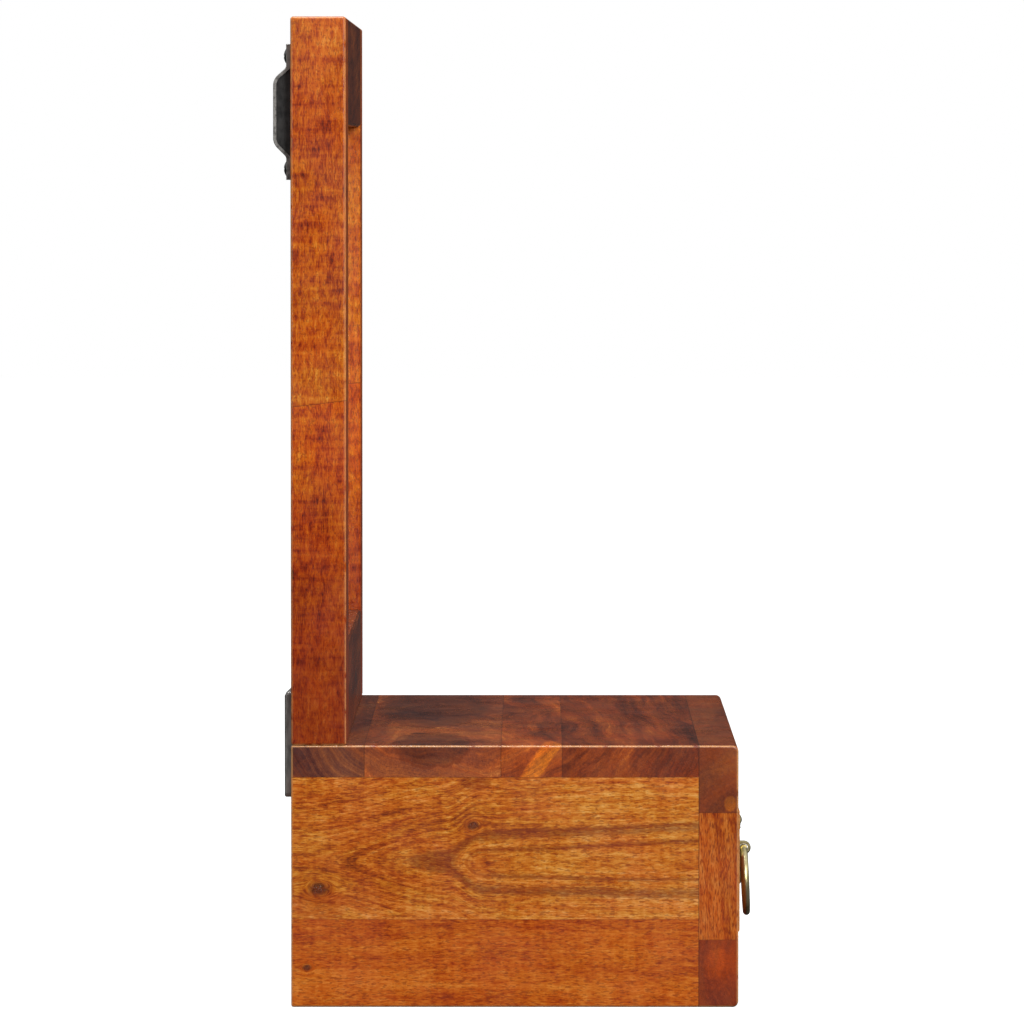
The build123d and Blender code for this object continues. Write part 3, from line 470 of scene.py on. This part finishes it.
def dress_front(edges, seams):
    rail_end = in_mm("front_rail_top")[0][0]
    rails = (("front_rail_bottom", 9, (1.12, 0.68, 0.44), 0.6,
              ((rail_end, 22, -101), (40, 8, 6), 0.3, (1.3, 1.4, 1.1), 0.0)),
             ("front_rail_top", 10, (0.96, 0.86, 0.86), 0.8,
              ((rail_end, 103, -109), (12, 4, 3), 0.0, ORANGE, 0.0)))
    for name, seed, tone, edge, patch in rails:
        board(name, Wood("xzy", UMBER, seed, pith=(20, -160), taper=0.02, tones=(tone,),
                         patches=(patch,), seams=seams, bands=(0.5, 0.2), fibres=0.3, pores=0.2,
                         edge=edge), edges)
    rail_seams = (("z", in_mm("front_rail_bottom")[1][2]), ("z", in_mm("front_rail_top")[0][2]))
    for index, name in enumerate(("left", "centre", "right")):
        board("front_stile_" + name, Wood(
            "zyx", HONEY, 14 + index, pith=(50, 100 - 100 * index), taper=0.02,
            tones=((0.98, 0.76, 0.9),), seams=seams + rail_seams, mottle=0.35, pores=0.7), edges)


def dress_case():
    edges = around("top_panel", "front_rail_bottom", "front_rail_top")
    _, front, under_top = in_mm("top_panel")[0]
    front_seam = ("y", front)
    dress_sides(edges, (("z", under_top), front_seam))
    dress_top(edges, (front_seam,))
    dress_front(edges, (front_seam,))
    board("back_panel", Wood("xzy", HONEY, 20, tones=((0.95, 0.85, 0.75),)), edges)
    board("bottom_panel", Wood("xyz", HONEY, 21, cuts=(((0, 1, 0), 20),),
                               tones=((0.9, 0.8, 0.75), (1.0, 0.9, 0.8))), edges)


def dress_mirror():
    edges = around("mirror_stile_left", "mirror_stile_right")
    seam_x = in_mm("mirror_stile_right")[0][0]
    slope, height, middle = 0.12, 305, 99       # the stiles are scarfed from two lengths
    scarf = ((1.0, slope, 0.0), height + slope * middle)
    for name, seed, pale in (("left", 30, 1.0), ("right", 31, 1.2)):
        lower, upper = (1.04 * pale, 0.9 * pale, 0.36), (0.97 * pale, 0.94 * pale, 0.61)
        board("mirror_stile_" + name, Wood(
            "zyx", RUSSET, seed, pith=(30, 20), taper=0.03, cuts=(scarf,), tones=(lower, upper),
            bands=(0.6, 0.4), fibres=0.8, mottle=1.0, ripple=0.75, pores=0.5, dash=0.7, wave=4,
            hues=((1.02, 0.92, 0.9), (1.0, 1.1, 1.1)),
            fade=(132, 330, (0.52, 0.36, 0.66))), edges)
    seams = (("x", -seam_x), ("x", seam_x))
    for seed, name in ((34, "mirror_rail_top"), (35, "mirror_rail_bottom")):
        board(name, Wood("xzy", UMBER, seed, pith=(600, 200), tones=((0.72, 0.66, 0.85),),
                         seams=seams), edges)


def dress_drawers():
    for side, seed in (("left", 40), ("right", 50)):
        prefix = "drawer_" + side + "_"
        board(prefix + "front", Wood("xzy", HONEY, seed, pith=(50, 0), taper=0.06,
                                     tones=((0.97, 0.86, 0.8),)))
        inner = ((1.0, 0.98, 0.92),)
        for index, piece in enumerate(("side_left", "side_right")):
            board(prefix + piece, Wood("yzx", HONEY, seed + 2 + index, tones=inner, gloss=0.5, edge=0.2))
        board(prefix + "back", Wood("xzy", HONEY, seed + 5, tones=inner, gloss=0.5, edge=0.2))
        board(prefix + "bottom", Wood("xyz", HONEY, seed + 6, tones=((1.1, 1.05, 1.0),), gloss=0.5,
                                      mottle=0.2, edge=0.0))


def dress_inner_wood():
    plain = ((1.0, 0.95, 0.85),)
    for index, name in enumerate(("drawer_runners", "drawer_guides", "drawer_kickers", "drawer_stops",
                                  "centre_divider")):
        board(name, Wood("yzx", HONEY, 60 + index, tones=plain, gloss=0.55, edge=0.0))
    board("backing_beads", Wood("zyx", UMBER, 66, gloss=0.45, edge=0.1))
    pale = ((1.3, 1.5, 1.8),)
    for index, name in enumerate(("case_dowels", "front_frame_dowels", "mirror_frame_dowels",
                                  "drawer_left_dowels", "drawer_right_dowels")):
        board(name, Wood("yzx", HONEY, 70 + index, tones=pale, gloss=0.6, edge=0.0))


# ---------------------------------------------------------------- other materials
HANGER_RIM = (13.8 * MM, 14.5 * MM)     # from a hanger's middle: the rubbed grey and painted highlight start, and are full
PLATE_FACE = (0.9 * MM, 0.2 * MM)       # below a plate's face: grey down here, black above here
DARK_END_HEIGHT = 13 * MM                 # how high the darker brown reaches up a ring from its lower end


def worn_and_highlit_steel():
    """The joining plates: steel rubbed to a soft grey at its edges, with the face left darker. The edge
    grey is partly painted light: a painted highlight, made brighter where the edges lie in shade.
    """
    tree = Tree("worn_and_highlit_steel")
    rub = tree.noise(tree.place, (240, 240, 90), 3.0, 0.65)
    # grey edges: rubbed steel, and partly a painted highlight and painted light
    base = tree.ramp(rub, [(0.3, srgb(122, 118, 116)), (0.7, srgb(176, 172, 168))])
    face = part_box("joining_plate_left")[1][1]
    deep, shallow = (face - depth for depth in PLATE_FACE)
    black = tree.ease(tree.split(tree.place)[1], deep, shallow, 0.0, 0.7)
    tree.set(Base_Color=tree.mix(black, base, srgb(46, 44, 43)), Metallic=0.55)
    tree.set(Roughness=tree.ease(rub, 0.3, 0.7, 0.34, 0.5))
    tree.set(Normal=tree.bump(rub, 0.06 * MM, 0.4))
    return tree.material


def black_steel(centre):
    """Black lacquered steel, rubbed to grey along the outer rims, which is also a painted highlight on the
    rims.
    """
    tree = Tree("black_steel")
    x = tree.split(tree.place)[0]
    off_centre = tree.math("ABSOLUTE", tree.math("SUBTRACT", tree.math("ABSOLUTE", x), centre))
    rub = tree.noise(tree.place, (300, 300, 300), 3.0, 0.65)
    rim = tree.times(tree.ease(off_centre, *HANGER_RIM), tree.ease(rub, 0.2, 0.6))
    base = tree.ramp(rub, [(0.3, srgb(26, 25, 25)), (0.7, srgb(48, 46, 45))])
    # the rims' grey: rubbed steel, and a painted highlight along the outer edge
    colour = tree.mix(tree.times(rim, 0.9), base, srgb(150, 147, 143))
    dust = tree.noise(tree.place, (900, 900, 900), 2.0, 0.6)
    tree.set(Base_Color=colour, Metallic=tree.times(rim, 0.5))
    tree.set(Roughness=tree.ease(rub, 0.3, 0.7, 0.32, 0.5))
    tree.set(Normal=tree.bump(tree.add(rub, tree.times(dust, 0.4)), 0.12 * MM, 0.5))
    return tree.material


def screw_black():
    """Blackened screw heads."""
    tree = Tree("screw_black")
    rub = tree.noise(tree.place, (700, 700, 700), 3.0, 0.6)
    tree.set(Base_Color=tree.ramp(rub, [(0.35, srgb(18, 17, 17)), (0.7, srgb(46, 43, 42))]))
    tree.set(Metallic=0.6, Roughness=tree.ease(rub, 0.3, 0.7, 0.28, 0.5))
    tree.set(Normal=tree.bump(rub, 0.04 * MM, 0.4))
    return tree.material


def antique_brass(name, dark_below):
    """Polished antique brass with brown patina in patches, and darker brown towards the lower end."""
    tree = Tree(name)
    z = tree.split(tree.place)[2]
    cloud = tree.noise(tree.place, (110, 110, 110), 3.0, 0.6)
    grain = tree.noise(tree.place, (1500, 1500, 1500), 2.0, 0.6)
    uneven = tree.add(z, tree.times(cloud, 9 * MM))
    # darker brown towards the lower end of the ring
    low = tree.ease(uneven, dark_below, dark_below + DARK_END_HEIGHT, 1.0, 0.0)
    patina_and_dark_end = tree.math("MAXIMUM", tree.times(low, 0.92), tree.ease(cloud, 0.6, 0.76, 0.0, 0.4))
    base = tree.ramp(cloud, [(0.35, srgb(192, 176, 124)), (0.65, srgb(232, 222, 176))])
    colour = tree.mix(patina_and_dark_end, base, srgb(58, 36, 24))
    tree.set(Base_Color=colour, Metallic=1.0)
    tree.set(Roughness=tree.add(0.27, tree.times(patina_and_dark_end, 0.12), tree.times(grain, 0.1)))
    tree.set(Normal=tree.bump(grain, 0.02 * MM, 0.4))
    return tree.material


def dark_brass():
    """The pull's small fixing screws."""
    tree = Tree("dark_brass")
    cloud = tree.noise(tree.place, (500, 500, 500), 3.0, 0.6)
    tree.set(Base_Color=tree.ramp(cloud, [(0.35, srgb(34, 27, 20)), (0.7, srgb(84, 68, 44))]))
    tree.set(Metallic=1.0, Roughness=tree.ease(cloud, 0.3, 0.7, 0.28, 0.45))
    return tree.material


def plain_steel():
    """Panel pins."""
    tree = Tree("plain_steel")
    cloud = tree.noise(tree.place, (600, 600, 600), 2.0, 0.5)
    tree.set(Base_Color=tree.ramp(cloud, [(0.3, srgb(150, 150, 152)), (0.7, srgb(190, 190, 192))]))
    tree.set(Metallic=1.0, Roughness=0.35)
    return tree.material


def mirror_silver():
    """Silvered glass: perfectly sharp, with a faint haze in its colour."""
    tree = Tree("mirror_silver")
    haze = tree.noise(tree.place, (16, 16, 16), 3.0, 0.6)
    tree.set(Base_Color=tree.ramp(haze, [(0.3, srgb(220, 226, 228)), (0.7, srgb(225, 230, 231))]))
    tree.set(Metallic=1.0, Roughness=0.0)
    return tree.material


def hardboard():
    """Brown pressed board: fine fibres with no direction."""
    tree = Tree("hardboard")
    fleck = tree.noise(tree.place, (900, 900, 900), 3.0, 0.7)
    cloud = tree.noise(tree.place, (30, 30, 30), 3.0, 0.6)
    both = tree.add(tree.times(fleck, 0.6), tree.times(cloud, 0.4))
    tree.set(Base_Color=tree.ramp(both, [(0.35, srgb(84, 58, 38)), (0.65, srgb(128, 94, 64))]))
    tree.set(Roughness=0.75, Normal=tree.bump(fleck, 0.1 * MM, 0.5))
    return tree.material


def dress_fittings():
    hanger_low, hanger_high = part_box("hanger_left")
    centre = -(hanger_low[0] + hanger_high[0]) / 2
    paint(black_steel(centre), "hanger_left", "hanger_right")
    paint(worn_and_highlit_steel(), "joining_plate_left", "joining_plate_right")
    paint(screw_black(), "hanger_screws", "joining_plate_screws")
    paint(plain_steel(), "bead_pins")
    paint(mirror_silver(), "mirror_glass")
    paint(hardboard(), "mirror_backing_board")
    ring_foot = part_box("pull_left_ring")[0][2]
    ring = antique_brass("brass_ring", ring_foot)
    fittings = antique_brass("brass_plate", 0.0)
    for side in ("left", "right"):
        paint(ring, "pull_" + side + "_ring")
        paint(fittings, "pull_" + side + "_plate", "pull_" + side + "_eye")
        paint(dark_brass(), "pull_" + side + "_screws")


# ---------------------------------------------------------------- floor, light, camera
IN_MIRROR = 0.5                 # how bright the white surroundings look in the mirror
FLOOR_HALF = 12.0
FLOOR_SEEN = (0.8, 0.8, 0.8)
FLOOR_AS_LIGHT = (0.08, 0.08, 0.08)
FLOOR_GLOW = 0.62
OVERHEAD = (0.2, 0.95, 0.7)     # direction's z where it starts and is full, and its strength
IN_FRONT = (-0.35, -1.0, 0.4)   # the same for the direction's y
HORIZON = 0.03
LAMPS = (                       # name, place, side of the square, watts
    ("key", (-2.4, -0.95, 1.2), 1.2, 49),
    ("left", (-2.0, 1.6, 0.7), 0.8, 9),
    ("front", (-0.9, -2.8, 1.5), 1.4, 8),
    ("behind", (1.4, 2.4, 1.7), 1.4, 20),
    ("top", (-0.5, 0.1, 1.9), 0.4, 12),
)
LAMP_AIM = Vector((0, 0, 0.25))
CAMERA_PLACE = Vector((-4.40, -0.010, 0.4275))
CAMERA_AIM = Vector((-0.200, 0.0014, 0.2505))
LENS = 293.1                    # millimetres, as is the sensor's width
SENSOR = 36.0


def seen_directly(nodes, links):
    """1 for what the camera sees, less for what the mirror shows, and 0 for light on its way."""
    path = nodes.new("ShaderNodeLightPath")
    dimmed = nodes.new("ShaderNodeMath")
    dimmed.operation = "MULTIPLY"
    dimmed.inputs[1].default_value = IN_MIRROR
    either = nodes.new("ShaderNodeMath")
    either.operation = "MAXIMUM"
    links.new(path.outputs["Is Singular Ray"], dimmed.inputs[0])
    links.new(path.outputs["Is Camera Ray"], either.inputs[0])
    links.new(dimmed.outputs[0], either.inputs[1])
    return either.outputs[0]


def make_floor():
    """A pale floor. It is nearly white to the camera, and throws back less light than that."""
    mesh = bpy.data.meshes.new("floor")
    half = FLOOR_HALF
    mesh.from_pydata([(-half, -half, 0), (half, -half, 0), (half, half, 0), (-half, half, 0)],
                     [], [(0, 1, 2, 3)])
    floor = bpy.data.objects.new("floor", mesh)
    bpy.context.collection.objects.link(floor)
    floor.location.z = cad_box[0][2] - 0.1 * MM
    tree = Tree("floor")
    seen = seen_directly(tree.nodes, tree.links)
    tree.set(Base_Color=tree.mix(seen, FLOOR_AS_LIGHT, FLOOR_SEEN))
    tree.set(Roughness=0.9, Specular_IOR_Level=0.0)
    tree.set(Emission_Color=(1.0, 1.0, 1.0), Emission_Strength=tree.times(seen, FLOOR_GLOW))
    mesh.materials.append(tree.material)


def make_world():
    """White to the camera. As light: dim at the horizon, brighter overhead and in front."""
    world = bpy.data.worlds.new("studio")
    bpy.context.scene.world = world
    world.use_nodes = True
    nodes, links = world.node_tree.nodes, world.node_tree.links

    def fade(source, low, high, end):
        made = nodes.new("ShaderNodeMapRange")
        made.interpolation_type = "SMOOTHSTEP"
        links.new(source, made.inputs["Value"])
        made.inputs["From Min"].default_value = low
        made.inputs["From Max"].default_value = high
        made.inputs["To Max"].default_value = end
        return made.outputs[0]

    def add(a, b):
        made = nodes.new("ShaderNodeMath")
        links.new(a, made.inputs[0])
        if isinstance(b, float):
            made.inputs[1].default_value = b
        else:
            links.new(b, made.inputs[1])
        return made.outputs[0]

    background = nodes["Background"]
    place = nodes.new("ShaderNodeTexCoord")
    split = nodes.new("ShaderNodeSeparateXYZ")
    links.new(place.outputs["Generated"], split.inputs[0])
    above = fade(split.outputs[2], *OVERHEAD)
    front = fade(split.outputs[1], *IN_FRONT)
    glow = add(add(above, front), HORIZON)
    strength = nodes.new("ShaderNodeMix")
    links.new(seen_directly(nodes, links), strength.inputs[0])
    links.new(glow, strength.inputs[2])
    strength.inputs[3].default_value = 1.0
    links.new(strength.outputs[0], background.inputs["Strength"])
    background.inputs["Color"].default_value = (1.0, 1.0, 1.0, 1.0)


def make_light(name, place, size, power):
    """A soft square lamp aimed at the object, which the camera doesn't see."""
    light = bpy.data.lights.new(name, "AREA")
    light.size = size
    light.energy = power
    lamp = bpy.data.objects.new(name, light)
    bpy.context.collection.objects.link(lamp)
    lamp.location = place
    lamp.rotation_mode = "QUATERNION"
    aim = LAMP_AIM - Vector(place)
    lamp.rotation_quaternion = aim.to_track_quat("-Z", "Y")
    lamp.visible_camera = False


def make_camera():
    """A long lens above the middle of the mirror, square on to the left side."""
    camera_data = bpy.data.cameras.new("camera")
    camera_data.sensor_width = SENSOR
    camera_data.lens = LENS
    camera_data.clip_start = 0.1
    camera_data.clip_end = 60.0
    camera = bpy.data.objects.new("camera", camera_data)
    bpy.context.collection.objects.link(camera)
    camera.location = CAMERA_PLACE
    camera.rotation_mode = "QUATERNION"
    aim = CAMERA_AIM - CAMERA_PLACE
    camera.rotation_quaternion = aim.to_track_quat("-Z", "Y")
    bpy.context.scene.camera = camera


dress_case()
dress_mirror()
dress_drawers()
dress_inner_wood()
dress_fittings()
make_floor()
make_world()
for lamp_values in LAMPS:
    make_light(*lamp_values)
make_camera()
bpy.context.scene.view_settings.view_transform = "Standard"
